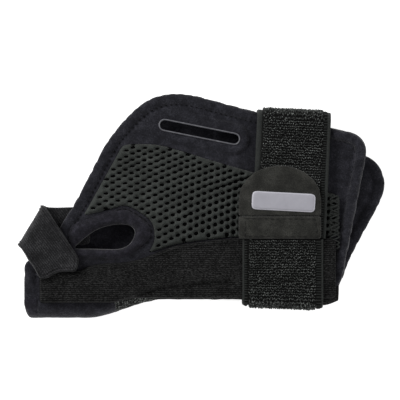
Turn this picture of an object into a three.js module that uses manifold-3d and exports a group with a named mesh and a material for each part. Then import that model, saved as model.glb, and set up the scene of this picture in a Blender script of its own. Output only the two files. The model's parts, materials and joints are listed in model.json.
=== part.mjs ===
// Thumb spica wrist splint, folded in two and lying flat with its strap wound round it.
// Millimetres. +X points to the forearm end, +Y to the free edges of the wings, +Z up.
import * as THREE from 'three';
import { mergeVertices } from 'three/addons/utils/BufferGeometryUtils.js';
import Module from 'manifold-3d';

const wasm = await Module();
wasm.setup();

// ---- driving dimensions ----
const TOUCH = 0.3;                 // gap kept between pieces that touch
const STRAP_T = 2.2;               // loop tape of the wrist strap
const MESH_T = 1.4;                // spacer mesh
const COVER_T = 2.0;               // nap face with its foam
const LINING_T = 0.7;              // inner lining
const CAVITY = 6.0;                // between the two linings, where the arm goes
const HEM_W = 7.0;                 // rolled hem, measured in from the edge
const CURVE_STEPS = 5;

// ---- levels, from the floor up ----
const Z_MESH_BACK = STRAP_T + TOUCH;
const Z_COVER_BACK = Z_MESH_BACK + MESH_T + TOUCH;
const Z_LINING_BACK = Z_COVER_BACK + COVER_T + TOUCH;
const Z_LINING_FRONT = Z_LINING_BACK + LINING_T + CAVITY;
const Z_COVER_FRONT = Z_LINING_FRONT + LINING_T + TOUCH;
const Z_FACE = Z_COVER_FRONT + COVER_T + TOUCH;       // what is sewn on the front starts here
const Z_STRAP_UPPER = Z_FACE + MESH_T + TOUCH;

// ---- bottom fold ----
const THUMB_EDGE_Y = -52.0;        // lower edge of the panels at the thumb end
const ARM_EDGE_Y = -44.2;          // and along the forearm
const THUMB_FOLD = 7.7;            // how far the fold bulges past those edges
const ARM_FOLD = 5.5;
const FOLD_STEP = [-48, -24];      // where one runs into the other

// ---- back wing leans so that its thumb end reaches the floor ----
const LEAN = THREE.MathUtils.degToRad(1.68);
const LEAN_X = 22;

// ---- stay and its pocket ----
const STAY = { length: 142, width: 14, thick: 1.5, x: -5, y: -37.6, turn: THREE.MathUtils.degToRad(4.8) };
const POCKET_BACKING_T = 0.6;
const POCKET_WALL = 0.7;
const Z_STAY = Z_FACE + POCKET_BACKING_T + TOUCH;
const Z_POCKET_TOP = Z_STAY + STAY.thick + TOUCH + POCKET_WALL;
const POCKET_TOP_Y = -16.8;

// ---- wrist strap ----
const Z_STRAP_FRONT = Z_POCKET_TOP + TOUCH;
const STRAP_UPPER = { left: 28.5, right: 69.7, top: 48.2, bottom: -16.4 };
const STRAP_FRONT = { left: 22.3, right: 65.6, top: -17.6, bottom: -49.6 };
const STRAP_CORNER = 7.0;          // outer radius where the strap turns round the bottom edge
const STRAP_TOP_CORNER = 6.0;      // and round the top edge

// ---- tab at the strap's end ----
const TAB = { left: 20.2, right: 64.4, base: -17.3, hinge: -5.2, tip: 22, shoulder: 8 };
const HOOK_T = 0.8;
const TONGUE_T = 1.1;
const LABEL = { x: 44.2, y: 2.6, length: 34, width: 9.9, corner: 2.6, thick: 0.5,
  turn: THREE.MathUtils.degToRad(-3) };
const Z_HOOK = Z_STRAP_UPPER + STRAP_T + TOUCH;
const Z_TONGUE = Z_HOOK + HOOK_T + TOUCH;

// ---- thumb strap ----
const THUMB_STRAP_T = 2.0;
const THUMB_HOOK_T = 0.7;
const FOLD_LOW = new THREE.Vector2(-98.7, -19.8);     // lower end of its fold line
const FOLD_HIGH = new THREE.Vector2(-86.6, 0.4);      // upper end
const Z_THUMB_BACK = Z_LINING_FRONT - TOUCH - THUMB_STRAP_T;
const Z_THUMB_HOOK = Z_POCKET_TOP + TOUCH;
const Z_THUMB_FRONT = Z_THUMB_HOOK + THUMB_HOOK_T + TOUCH;
const THUMB_CORNER = 5.5;

// ---- slot in the front wing ----
const SLOT = { x: -0.8, y: 40.2, length: 43.4, width: 5.2, rim: 0.6, turn: THREE.MathUtils.degToRad(-11.3) };

// ---- outlines, as [x, y, corner radius], counter-clockwise ----
const FRONT_EDGE = [
  [74.5, ARM_EDGE_Y, 0], [90.5, 37.5, 12], [28, 50.6, 30], [-12, 61.8, 14], [-34, 56.2, 14], [-51, 36.5, 8],
  [-75.5, -11, 4], [-79, -26, 5], [-95.6, -29, 5], [-95.6, THUMB_EDGE_Y, 0],
];
const BACK_EDGE = [
  [74.5, ARM_EDGE_Y, 0], [79.5, -28, 20], [100.5, 10, 12], [95, 25, 9], [0, 51, 14],
  [-30, 50, 18], [-50, 32, 10], [-74.5, -12, 4], [-79, -26, 5], [-95.6, -29, 5],
  [-95.6, THUMB_EDGE_Y, 0],
];
const LOWER_EDGE = [[-46, THUMB_EDGE_Y, 3], [-36, ARM_EDGE_Y, 3]];
const THUMB_HOLE = [
  [-69, -22.6, 1], [-56, -22.8, 20], [-40, -23.2, 7], [-34.4, -13.6, 5], [-40, -9, 7], [-56, -11.4, 12],
];
const HOLE_SURROUND = [
  [-72.5, -29.5, 3], [-41, -29, 8], [-25.5, -18.5, 6], [-26, -9, 5], [-40, 1, 8], [-50, -2.5, 6],
  [-72, -10, 5],
];
const POCKET = [
  [-87, -52, 2], [-47, -52, 4], [-38, -49.5, 4], [72.4, -49.5, 2], [72.4, POCKET_TOP_Y, 2],
  [16, POCKET_TOP_Y, 10], [-14, -20.8, 6], [-36, -29.8, 8], [-58, -31, 6], [-66, -35, 4],
  [-87, -35, 2],
];
const FRONT_MESH = [
  [-14, -20.4, 6], [16, POCKET_TOP_Y + 0.4, 10], [74, POCKET_TOP_Y + 0.4, 2], [75, 6, 4],
  [24, 19.5, 20], [-24, 34, 8], [-42, 33.5, 3], [-63.5, -5, 1], [-50, -2, 6], [-40, 1.6, 8],
  [-25.4, -8.6, 5], [-25, -18.8, 2], [-28.5, -25.4, 1],
];
const BACK_MESH = [
  [-20, -38, 6], [70, -38, 6], [76, 4, 6], [-20, 32, 10], [-42, 26, 8], [-60, -8, 6], [-40, -24, 6],
];
const THUMB_TAIL = [[-86.9, -38.6, 2], [-82.6, -38.9, 2], [-77, -35.1, 3], [-66.6, -35.1, 2], [-64.9, -28.2, 2]];
const THUMB_HOOK = [[-86, -36.4, 1], [-83, -36.6, 1], [-78, -33, 2], [-69, -33, 1], [-68, -28.6, 1], [-84, -24, 1]];

// ---- materials ----
function material(colour, roughness, metalness = 0) {
  return new THREE.MeshStandardMaterial({ color: colour, roughness, metalness });
}
const paint = {
  nap: () => material(0x2c2d33, 0.95),
  lining: () => material(0x26262a, 0.95),
  hem: () => material(0x2d2c32, 0.95),
  mesh: () => material(0x30322f, 0.9),
  knit: () => material(0x1f1f20, 0.95),
  loop: () => material(0x242624, 0.9),
  elastic: () => material(0x232325, 0.9),
  suede: () => material(0x30302f, 0.95),
  hook: () => material(0x161617, 0.6),
  label: () => material(0xa2a1a9, 0.55),
  rim: () => material(0x5c5c60, 0.5),
  aluminium: () => material(0xb4b6b8, 0.35, 1),
};

// ---- outline helpers ----
// A closed shape through the points, each corner eased over its own radius.
function rounded(points) {
  const shape = new THREE.Shape();
  points.forEach(([x, y, radius], i) => {
    const corner = new THREE.Vector2(x, y);
    const before = new THREE.Vector2(...points.at(i - 1).slice(0, 2)).sub(corner);
    const after = new THREE.Vector2(...points[(i + 1) % points.length].slice(0, 2)).sub(corner);
    const enter = before.clone().setLength(Math.min(radius, before.length() * 0.45)).add(corner);
    const leave = after.clone().setLength(Math.min(radius, after.length() * 0.45)).add(corner);
    if (i === 0) shape.moveTo(enter.x, enter.y);
    else shape.lineTo(enter.x, enter.y);
    if (radius > 0) shape.quadraticCurveTo(x, y, leave.x, leave.y);
  });
  shape.closePath();
  return shape;
}

// The same open run of points moved to its left by a distance, corners mitred.
function movedIn(points, distance) {
  const side = (a, b) => new THREE.Vector2(a[1] - b[1], b[0] - a[0]).normalize();
  return points.map(([x, y, radius], i) => {
    const first = i > 0 ? side(points[i - 1], points[i]) : side(points[0], points[1]);
    const second = i < points.length - 1 ? side(points[i], points[i + 1]) : first;
    const mitre = first.clone().add(second);
    mitre.multiplyScalar(distance * 2 / mitre.lengthSq());
    const turnsLeft = first.x * second.y - first.y * second.x >= 0;
    const eased = radius > 0 ? Math.max(1, radius + (turnsLeft ? -distance : distance) * 0.6) : 0;
    return [x + mitre.x, y + mitre.y, eased];
  });
}

function panelShape(edge, inset) {
  return rounded([...LOWER_EDGE, ...movedIn(edge, inset)]);
}

function stadium({ x, y, length, width, turn }) {
  const half = (length - width) / 2;
  const path = new THREE.Path();
  const along = new THREE.Vector2(Math.cos(turn), Math.sin(turn)).multiplyScalar(half);
  path.absarc(x + along.x, y + along.y, width / 2, turn - Math.PI / 2, turn + Math.PI / 2);
  path.absarc(x - along.x, y - along.y, width / 2, turn + Math.PI / 2, turn + Math.PI * 1.5);
  path.closePath();
  return path;
}

// ---- solids ----
function slab(shape, low, high) {
  const geometry = new THREE.ExtrudeGeometry(shape, {
    depth: high - low, bevelEnabled: false, curveSegments: CURVE_STEPS,
  });
  return geometry.translate(0, 0, low);
}

function merged(geometry) {
  const bare = geometry.clone();
  bare.deleteAttribute('normal');
  bare.deleteAttribute('uv');
  return mergeVertices(bare, 1e-4);
}

function toSolid(geometry) {
  const bare = merged(geometry);
  return new wasm.Manifold(new wasm.Mesh({
    numProp: 3,
    vertProperties: new Float32Array(bare.attributes.position.array),
    triVerts: new Uint32Array(bare.index.array),
  }));
}

function cut(geometry, ...cutters) {
  const result = cutters.reduce((solid, cutter) => solid.subtract(toSolid(cutter)), toSolid(geometry));
  const mesh = result.getMesh();
  const out = new THREE.BufferGeometry();
  out.setAttribute('position', new THREE.BufferAttribute(mesh.vertProperties, 3));
  out.setIndex(new THREE.BufferAttribute(mesh.triVerts, 1));
  out.computeVertexNormals();
  return out;
}

// Half of a strap's turn round an edge: the lower or upper quarter bend with its upright.
// The profile's first axis runs in from the outermost line, its second is height.
function turnProfile({ low, high, thick, corner, upper }) {
  const middle = (low + high) / 2;
  const end = middle + (upper ? TOUCH / 2 : -TOUCH / 2);
  const centre = upper ? high - corner : low + corner;
  const tip = upper ? Math.PI / 2 : -Math.PI / 2;
  const inner = corner - thick;
  const shape = new THREE.Shape();
  shape.moveTo(0, end);
  shape.absarc(corner, centre, corner, Math.PI, upper ? tip : Math.PI * 1.5, upper);
  shape.lineTo(corner, centre + (upper ? inner : -inner));
  shape.absarc(corner, centre, inner, upper ? tip : Math.PI * 1.5, Math.PI, !upper);
  shape.lineTo(thick, end);
  shape.closePath();
  return shape;
}

// Sweeps a profile along a fold line, with `inward` pointing from the line to the strap's body.
function foldedTurn(profile, start, inward, width) {
  const geometry = new THREE.ExtrudeGeometry(profile, {
    depth: width, bevelEnabled: false, curveSegments: CURVE_STEPS,
  });
  const up = new THREE.Vector3(0, 0, 1);
  const across = new THREE.Vector3().crossVectors(inward, up);
  geometry.applyMatrix4(new THREE.Matrix4().makeBasis(inward, up, across));
  return geometry.translate(start.x, start.y, 0);
}

// Closed body through rings of points, every ring the same length, capped at both ends.
function loft(rings) {
  const count = rings[0].length;
  const positions = rings.flat().flatMap((point) => [point.x, point.y, point.z]);
  const index = [];
  for (let ring = 0; ring < rings.length - 1; ring += 1) {
    for (let i = 0; i < count; i += 1) {
      const a = ring * count + i;
      const b = ring * count + (i + 1) % count;
      index.push(a, b, b + count, a, b + count, a + count);
    }
  }
  const flat = rings[0].map((point) => new THREE.Vector2(point.y, point.z));
  const last = (rings.length - 1) * count;
  for (const [a, b, c] of THREE.ShapeUtils.triangulateShape(flat, [])) {
    index.push(a, c, b, last + a, last + b, last + c);
  }
  const geometry = new THREE.BufferGeometry();
  geometry.setAttribute('position', new THREE.Float32BufferAttribute(positions, 3));
  geometry.setIndex(index);
  return geometry;
}

// ---- assembling ----
const splint = new THREE.Group();
const backGroup = new THREE.Group();
backGroup.position.set(LEAN_X, 0, Z_COVER_BACK);
backGroup.rotation.y = -LEAN;
splint.add(backGroup);

function put(name, geometry, colour, parent = splint) {
  const mesh = new THREE.Mesh(geometry, colour);
  mesh.name = name;
  parent.add(mesh);
  return mesh;
}

function putBack(name, geometry, colour) {
  put(name, geometry.translate(-LEAN_X, 0, -Z_COVER_BACK), colour, backGroup);
}

function frontWing() {
  const slotHole = stadium({ ...SLOT, length: SLOT.length + 2 * (SLOT.rim + TOUCH),
    width: SLOT.width + 2 * (SLOT.rim + TOUCH) });
  const withHoles = () => {
    const shape = panelShape(FRONT_EDGE, HEM_W + TOUCH);
    shape.holes.push(slotHole, rounded(THUMB_HOLE));
    return shape;
  };
  put('front_wing_cover', slab(withHoles(), Z_COVER_FRONT, Z_COVER_FRONT + COVER_T), paint.nap());
  put('front_wing_lining', slab(withHoles(), Z_LINING_FRONT, Z_LINING_FRONT + LINING_T), paint.lining());
  const hem = rounded([...FRONT_EDGE, ...movedIn(FRONT_EDGE, HEM_W).reverse()]);
  put('front_wing_hem', slab(hem, Z_LINING_FRONT, Z_COVER_FRONT + COVER_T), paint.hem());
}

function backWing() {
  const panel = panelShape(BACK_EDGE, HEM_W + TOUCH);
  putBack('back_wing_cover', slab(panel, Z_COVER_BACK, Z_COVER_BACK + COVER_T), paint.nap());
  putBack('back_wing_lining', slab(panel, Z_LINING_BACK, Z_LINING_BACK + LINING_T), paint.lining());
  const hem = rounded([...BACK_EDGE, ...movedIn(BACK_EDGE, HEM_W).reverse()]);
  putBack('back_wing_hem', slab(hem, Z_COVER_BACK, Z_LINING_BACK + LINING_T), paint.hem());
  putBack('back_mesh_panel', slab(rounded(BACK_MESH), Z_MESH_BACK, Z_MESH_BACK + MESH_T), paint.mesh());
}

function foldSpine() {
  const top = Z_COVER_FRONT + COVER_T;
  const thick = COVER_T + TOUCH + LINING_T;
  const steps = 26;
  const arcSteps = 10;
  const [from, to] = [FRONT_EDGE.at(-1)[0] + TOUCH, FRONT_EDGE[0][0] - TOUCH];
  const rings = [];
  for (let step = 0; step <= steps; step += 1) {
    const x = THREE.MathUtils.lerp(from, to, step / steps);
    const mix = THREE.MathUtils.smoothstep(x, ...FOLD_STEP);
    const edge = THREE.MathUtils.lerp(THUMB_EDGE_Y, ARM_EDGE_Y, mix) - TOUCH;
    const bulge = THREE.MathUtils.lerp(THUMB_FOLD, ARM_FOLD, mix);
    const bottom = Z_COVER_BACK + (x - LEAN_X) * Math.tan(LEAN);
    const middle = (top + bottom) / 2;
    const half = (top - bottom) / 2;
    const arc = (inset) => Array.from({ length: arcSteps + 1 }, (_, i) => {
      const angle = Math.PI / 2 + Math.PI * i / arcSteps;
      return new THREE.Vector3(x, edge + (bulge - inset) * Math.cos(angle),
        middle + (half - inset) * Math.sin(angle));
    });
    rings.push([...arc(0), ...arc(thick).reverse()]);
  }
  put('fold_spine', loft(rings), paint.knit());
}

function frontTrim() {
  put('front_mesh_panel', slab(rounded(FRONT_MESH), Z_FACE, Z_FACE + MESH_T), paint.mesh());
  const surround = rounded(HOLE_SURROUND);
  surround.holes.push(rounded(THUMB_HOLE));
  put('thumb_hole_surround', slab(surround, Z_FACE, Z_FACE + MESH_T), paint.nap());
  const rim = new THREE.Shape(stadium({ ...SLOT, length: SLOT.length + 2 * SLOT.rim,
    width: SLOT.width + 2 * SLOT.rim }).getPoints(CURVE_STEPS * 2));
  rim.holes.push(stadium(SLOT));
  put('slot_rim', slab(rim, Z_LINING_FRONT, Z_FACE + SLOT.rim), paint.rim());
}

// A block beside or round the stay, from the floor up to `high`, in the stay's own turned axes.
function besideStay(x0, y0, x1, y1, high) {
  return new THREE.BoxGeometry(x1 - x0, y1 - y0, high)
    .translate((x0 + x1) / 2, (y0 + y1) / 2, high / 2)
    .rotateZ(STAY.turn)
    .translate(STAY.x, STAY.y, 0);
}

function stayAndPocket() {
  const outline = rounded(POCKET);
  put('stay_pocket_backing', slab(outline, Z_FACE, Z_FACE + POCKET_BACKING_T), paint.knit());
  const skinLow = Z_POCKET_TOP - POCKET_WALL;
  put('stay_pocket_cover', slab(outline, skinLow, Z_POCKET_TOP), paint.knit());
  const halfRoom = STAY.width / 2 + TOUCH + 0.1;
  const endRoom = STAY.length / 2 + TOUCH;
  const far = STAY.length * 2;
  const seams = {
    stay_pocket_upper_seam: [[-far, -far, far, halfRoom], [-far, -far, -endRoom, far]],
    stay_pocket_lower_seam: [[-far, -halfRoom, far, far], [-far, -far, -endRoom, far]],
    stay_pocket_end_seam: [[-endRoom - TOUCH, -far, far, far]],
  };
  for (const [name, openings] of Object.entries(seams)) {
    const band = openings.reduce((left, opening) => cut(left, besideStay(...opening, skinLow)),
      slab(outline, Z_STAY, skinLow - TOUCH));
    put(name, band, paint.knit());
  }
  const stay = new THREE.Shape(stadium({ ...STAY, x: 0, y: 0, turn: 0 }).getPoints(CURVE_STEPS * 2));
  const mesh = put('stay', slab(stay, Z_STAY, Z_STAY + STAY.thick), paint.aluminium());
  mesh.position.set(STAY.x, STAY.y, 0);
  mesh.rotation.z = STAY.turn;
}

function wristStrap() {
  const { left, right, top, bottom } = STRAP_UPPER;
  const front = STRAP_FRONT;
  const upperTop = Z_STRAP_UPPER + STRAP_T;
  const frontTop = Z_STRAP_FRONT + STRAP_T;
  const upper = rounded([[left - 0.5, bottom, 1], [right - 0.7, bottom, 1], [right, top - TOUCH, 0],
    [left, top - TOUCH, 0]]);
  put('wrist_strap_upper', slab(upper, Z_STRAP_UPPER, upperTop), paint.loop());
  const topHalves = [false, true].map((isUpper) => foldedTurn(
    turnProfile({ low: 0, high: upperTop, thick: STRAP_T, corner: STRAP_TOP_CORNER, upper: isUpper }),
    new THREE.Vector2(right, top + STRAP_TOP_CORNER), new THREE.Vector3(0, -1, 0), right - left));
  put('wrist_strap_top_fold_lower', topHalves[0], paint.loop());
  put('wrist_strap_top_fold_upper', topHalves[1], paint.loop());
  const back = rounded([[front.left, front.bottom + TOUCH, 0], [front.right, front.bottom + TOUCH, 0],
    [right, top - TOUCH, 0], [left, top - TOUCH, 0]]);
  put('wrist_strap_back', slab(back, 0, STRAP_T), paint.loop());
  const bottomHalves = [false, true].map((isUpper) => foldedTurn(
    turnProfile({ low: 0, high: frontTop, thick: STRAP_T, corner: STRAP_CORNER, upper: isUpper }),
    new THREE.Vector2(front.left, front.bottom - STRAP_CORNER), new THREE.Vector3(0, 1, 0),
    front.right - front.left));
  put('wrist_strap_fold_lower', bottomHalves[0], paint.loop());
  put('wrist_strap_fold_upper', bottomHalves[1], paint.loop());
  const frontShape = rounded([[front.left, front.bottom + TOUCH, 0], [front.right, front.bottom + TOUCH, 0],
    [front.right, front.top, 0], [front.left, front.top, 0]]);
  put('wrist_strap_front', slab(frontShape, Z_STRAP_FRONT, frontTop), paint.loop());
}

function tab() {
  const { left, right, base, hinge, tip, shoulder } = TAB;
  const baseShape = rounded([[left, base, 1], [right, base, 1], [right, hinge, 0], [left, hinge, 0]]);
  put('tab_base', slab(baseShape, Z_HOOK, Z_TONGUE + TONGUE_T), paint.suede());
  const tongue = new THREE.Shape();
  const centre = (left + right) / 2;
  tongue.moveTo(left, hinge + TOUCH);
  tongue.lineTo(right, hinge + TOUCH);
  tongue.lineTo(right, shoulder - 4);
  tongue.absellipse(centre, shoulder - 4, (right - left) / 2, tip - shoulder + 4, 0, Math.PI);
  tongue.closePath();
  put('tab_tongue', slab(tongue, Z_TONGUE, Z_TONGUE + TONGUE_T), paint.suede());
  const inset = 3.5;
  const hook = rounded([[left + inset, hinge + 2, 2], [right - inset, hinge + 2, 2],
    [right - inset, shoulder + 2, 8], [left + inset, shoulder + 2, 8]]);
  put('tab_hook_patch', slab(hook, Z_HOOK, Z_HOOK + HOOK_T), paint.hook());
  const [halfLength, halfWidth] = [LABEL.length / 2, LABEL.width / 2];
  const label = rounded([[-halfLength, -halfWidth, LABEL.corner], [halfLength, -halfWidth, LABEL.corner],
    [halfLength, halfWidth, LABEL.corner], [-halfLength, halfWidth, LABEL.corner]]);
  const labelLow = Z_TONGUE + TONGUE_T + TOUCH;
  const mesh = put('tab_label', slab(label, labelLow, labelLow + LABEL.thick), paint.label());
  mesh.position.set(LABEL.x, LABEL.y, 0);
  mesh.rotation.z = LABEL.turn;
}

function thumbStrap() {
  const line = FOLD_HIGH.clone().sub(FOLD_LOW);
  const width = line.length();
  const inward = new THREE.Vector3(line.y, -line.x, 0).normalize();
  const step = inward.clone().multiplyScalar(THUMB_CORNER + TOUCH);
  const [lowX, lowY] = [FOLD_LOW.x + step.x, FOLD_LOW.y + step.y];
  const [highX, highY] = [FOLD_HIGH.x + step.x, FOLD_HIGH.y + step.y];
  const back = rounded([[lowX, lowY, 0], [-60, -20.5, 1], [-60, -2, 1], [highX, highY, 0]]);
  put('thumb_strap_back', slab(back, Z_THUMB_BACK, Z_THUMB_BACK + THUMB_STRAP_T), paint.elastic());
  const halves = [false, true].map((isUpper) => foldedTurn(
    turnProfile({ low: Z_THUMB_BACK, high: Z_THUMB_FRONT + THUMB_STRAP_T, thick: THUMB_STRAP_T,
      corner: THUMB_CORNER, upper: isUpper }),
    FOLD_HIGH, inward, width));
  put('thumb_strap_fold_lower', halves[0], paint.elastic());
  put('thumb_strap_fold_upper', halves[1], paint.elastic());
  const front = rounded([[highX, highY, 0], [lowX, lowY, 0], ...THUMB_TAIL]);
  put('thumb_strap_front', slab(front, Z_THUMB_FRONT, Z_THUMB_FRONT + THUMB_STRAP_T), paint.elastic());
  put('thumb_strap_hook_patch', slab(rounded(THUMB_HOOK), Z_THUMB_HOOK, Z_THUMB_HOOK + THUMB_HOOK_T),
    paint.hook());
}

frontWing();
backWing();
foldSpine();
frontTrim();
stayAndPocket();
wristStrap();
tab();
thumbStrap();

export default splint;
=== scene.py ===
"""Looks of a soft thumb and wrist splint, folded flat with its strap wound round it.

Lengths are in millimetres in the CAD's frame, and MM turns them into Blender's metres. Outlines
and heights are read from the CAD nodes, so each piece sits where its node does.
"""
import json
import math
import random

import bpy
import numpy as np
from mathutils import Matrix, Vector, geometry, kdtree, noise


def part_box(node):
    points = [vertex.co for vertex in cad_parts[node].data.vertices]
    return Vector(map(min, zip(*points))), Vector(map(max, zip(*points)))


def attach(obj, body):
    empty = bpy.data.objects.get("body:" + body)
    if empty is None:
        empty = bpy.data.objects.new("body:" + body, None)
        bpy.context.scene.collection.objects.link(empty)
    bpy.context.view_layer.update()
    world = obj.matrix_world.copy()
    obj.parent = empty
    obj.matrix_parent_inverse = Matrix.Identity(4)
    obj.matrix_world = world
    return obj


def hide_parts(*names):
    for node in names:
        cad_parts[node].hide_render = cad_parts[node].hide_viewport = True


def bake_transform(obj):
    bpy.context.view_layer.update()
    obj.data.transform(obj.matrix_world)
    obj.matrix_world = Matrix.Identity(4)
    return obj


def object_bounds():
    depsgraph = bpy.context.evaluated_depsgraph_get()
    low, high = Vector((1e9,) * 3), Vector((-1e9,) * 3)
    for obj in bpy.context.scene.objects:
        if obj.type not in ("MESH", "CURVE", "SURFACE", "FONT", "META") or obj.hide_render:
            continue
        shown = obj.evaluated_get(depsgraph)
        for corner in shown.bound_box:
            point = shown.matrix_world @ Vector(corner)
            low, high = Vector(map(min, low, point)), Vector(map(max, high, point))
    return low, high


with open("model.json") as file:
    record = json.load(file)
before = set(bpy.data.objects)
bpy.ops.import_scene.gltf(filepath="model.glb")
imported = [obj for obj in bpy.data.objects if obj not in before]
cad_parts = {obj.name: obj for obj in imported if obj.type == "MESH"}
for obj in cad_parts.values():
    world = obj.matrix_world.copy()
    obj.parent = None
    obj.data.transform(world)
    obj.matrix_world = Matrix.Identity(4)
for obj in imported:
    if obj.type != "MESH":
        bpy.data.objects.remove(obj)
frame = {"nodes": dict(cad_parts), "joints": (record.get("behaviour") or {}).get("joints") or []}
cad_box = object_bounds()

MM = 0.001
HEM = 6.2                   # from the wing's edge to its stitch line
HEM_RINGS = (0.5, 1.2, 2.2, 3.4, 4.6, 5.5, 6.1, 6.8, 7.8, 9.2)  # rows of points across a hem
PUFF_OUT = 0.9              # how far a hem swells past its outline
PUFFY = (-15.0, 65.0)       # in x: the hems roll up more and more between these
RUN_OUT = (-47.0, -40.0)    # in y: the hem rolls above these and runs on into the fold below them
THUMB_HALF, THUMB_DROP = -40.0, 8.0   # before this x it keeps its roll that much further down
THUMB_END = -88.0           # in x: where the hem at the thumb end begins
FOLD_NARROWS = (-62.0, -20.0)   # in x: the fold changes from the thumb end's shape to the forearm's
FOLD_THICK = 2.2            # of the padding round the fold
FOLD_OVERLAP = 0.6          # how far the fold reaches in over the wings
THUMB_TIP = -90.4           # in x: from here on the fold tapers to its end
SEWN_BELOW = -42.0          # in y: nothing puffs up below this
MESH_TOP, MESH_BOW = 35.0, 0.0016   # where the topmost row of pores starts, and how it curves down
LEDGE = ((-50.0, -53.0), (-36.0, -47.8), (-22.0, -43.4), (4.0, -40.2), (21.0, -39.2))  # a crease in the knit
STITCH, STITCH_GAP = 2.3, 1.0
THREAD = 0.26               # radius of the sewing thread
TAPE = 1.25                 # thickness of the strap's woven ground
SELVEDGE_LEFT, SELVEDGE_RIGHT = 3.0, 4.2
SMOOTH_LEFT = {"root": 3.0, "front": 1.2}   # the part of each selvedge that has no rungs
SMOOTH_RIGHT = {"root": 2.0, "front": 1.2}
PILE_ROOM = 1.8             # what the pile takes of the strap's thickness in its turns
TOP_TURN, BOTTOM_TURN = 3.8, 4.8    # radius of the corners in the strap's two turns
UPPER_INSET = 1.0           # the tape is drawn in a little where it is sewn on
STRAP_TURN = 0.045          # slope of the upper stretch against the splint
STRAP_DROP = 0.04           # slope of the bottom fold, down to the right
STRAP_X = 44.0              # in x: the strap's middle
PEEL_FROM, PEEL_TO = 4.0, 18.5  # in z: the strap bends between these when it is peeled off
PILE_PITCH = 1.0            # between loops in a row
PILE_ROW = 1.4              # between rows of loops
PORE_COLUMN = 3.3           # between neighbouring columns of mesh pores
PORE_ROW = 3.15             # between pores in a column, at the top
KEY_POWER, FILL_POWER, WORLD_POWER = 6.2, 1.7, 0.29


# ---------- reading the frame
def box_mm(node):
    low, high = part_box(node)
    return np.array(low) / MM, np.array(high) / MM


def joint(name):
    return next(j for j in frame["joints"] if j["name"] == name)


def cap_loops(node, up=True):
    """Boundary loops of a node's upper or lower flat side, longest first."""
    mesh = frame["nodes"][node].data
    edges = {}
    for face in mesh.polygons:
        if face.normal.z * (1 if up else -1) < 0.9:
            continue
        keys = [tuple(round(c / MM, 3) for c in mesh.vertices[i].co) for i in face.vertices]
        for a, b in zip(keys, keys[1:] + keys[:1]):
            if edges.pop((b, a), None) is None:
                edges[(a, b)] = True
    follow = {a: b for a, b in edges}
    loops = []
    while follow:
        loop = [next(iter(follow))]
        step = follow.pop(loop[0])
        while step != loop[0] and step in follow:
            loop.append(step)
            step = follow.pop(step)
        loops.append(np.array(loop))
    return sorted(loops, key=lambda l: -np.linalg.norm(l - np.roll(l, 1, 0), axis=1).sum())


# ---------- numbers and outlines
def ease(low, high, value):
    t = np.clip((np.asarray(value, float) - low) / (high - low), 0, 1)
    return t * t * (3 - 2 * t)


def plateau(value, a, b, c, d):
    """Rises from 0 to 1 between a and b, falls back between c and d."""
    return ease(a, b, value) * (1 - ease(c, d, value))


def resample(points, spacing, closed=True):
    """Evenly spaced points along an outline or line."""
    points = np.asarray(points, float)
    if closed:
        points = np.vstack([points, points[:1]])
    lengths = np.r_[0, np.cumsum(np.linalg.norm(np.diff(points, axis=0), axis=1))]
    count = max(3, round(lengths[-1] / spacing))
    at = np.linspace(0, lengths[-1], count + 1)
    out = np.stack([np.interp(at, lengths, points[:, k]) for k in range(points.shape[1])], 1)
    return out[:-1] if closed else out


def rounded(loop, passes=3):
    """The outline with its small steps smoothed away."""
    for _ in range(passes):
        loop = (np.roll(loop, 1, 0) + 2 * loop + np.roll(loop, -1, 0)) / 4
    return loop


def is_inside(points, loop):
    x, y = points[:, :1], points[:, 1:2]
    ax, ay = loop[:, 0], loop[:, 1]
    bx, by = np.roll(ax, -1), np.roll(ay, -1)
    crosses = (ay > y) != (by > y)
    with np.errstate(divide="ignore", invalid="ignore"):
        at = ax + (y - ay) / (by - ay) * (bx - ax)
    return (crosses & (x < at)).sum(1) % 2 == 1


def tree_of(points):
    tree = kdtree.KDTree(len(points))
    for i, p in enumerate(points):
        tree.insert((p[0], p[1], 0), i)
    tree.balance()
    return tree


def gap_to(tree, points):
    return np.array([tree.find((p[0], p[1], 0))[2] for p in points])


def ragged(points, scale, seed=0.0):
    """Smooth noise from -1 to 1 at each point; scale is the size of its lumps."""
    return np.array([noise.noise(Vector((p[0] / scale, p[1] / scale, seed))) for p in points])


def edge_gap(loop, points, step=0.4):
    """How far each point is from an outline."""
    return gap_to(tree_of(resample(loop, step)), points)


def inward(loop):
    """Unit normals that point into an anticlockwise outline."""
    along = np.roll(loop, -1, 0) - np.roll(loop, 1, 0)
    along /= np.linalg.norm(along, axis=1)[:, None]
    return np.stack([-along[:, 1], along[:, 0]], 1)


def offset_line(loop, distance, spacing):
    """Points a distance inside an anticlockwise outline."""
    loop = resample(loop, spacing)
    moved = loop[:, :2] + inward(loop) * distance
    return moved[gap_to(tree_of(resample(loop, 0.5)), moved) > distance * 0.93]


def enclosed_area(loop):
    x, y = loop[:, 0], loop[:, 1]
    return (x * np.roll(y, -1) - np.roll(x, -1) * y).sum() / 2


def anticlockwise(loop):
    return loop if enclosed_area(loop) > 0 else loop[::-1]


def staggered(low, high, spacing):
    """Rows of points over a box, every other row shifted by half a step."""
    return np.array([(x + (row % 2) * spacing / 2, y)
                     for row, y in enumerate(np.arange(low[1], high[1], spacing * 0.87))
                     for x in np.arange(low[0], high[0], spacing)])


# ---------- meshes
def add_mesh(name, points, faces, material, smooth=True):
    mesh = bpy.data.meshes.new(name)
    mesh.from_pydata((np.asarray(points, float) * MM).tolist(), [], [list(map(int, f)) for f in faces])
    mesh.polygons.foreach_set("use_smooth", [smooth] * len(mesh.polygons))
    mesh.materials.append(material)
    piece = bpy.data.objects.new(name, mesh)
    bpy.context.scene.collection.objects.link(piece)
    return piece


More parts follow.
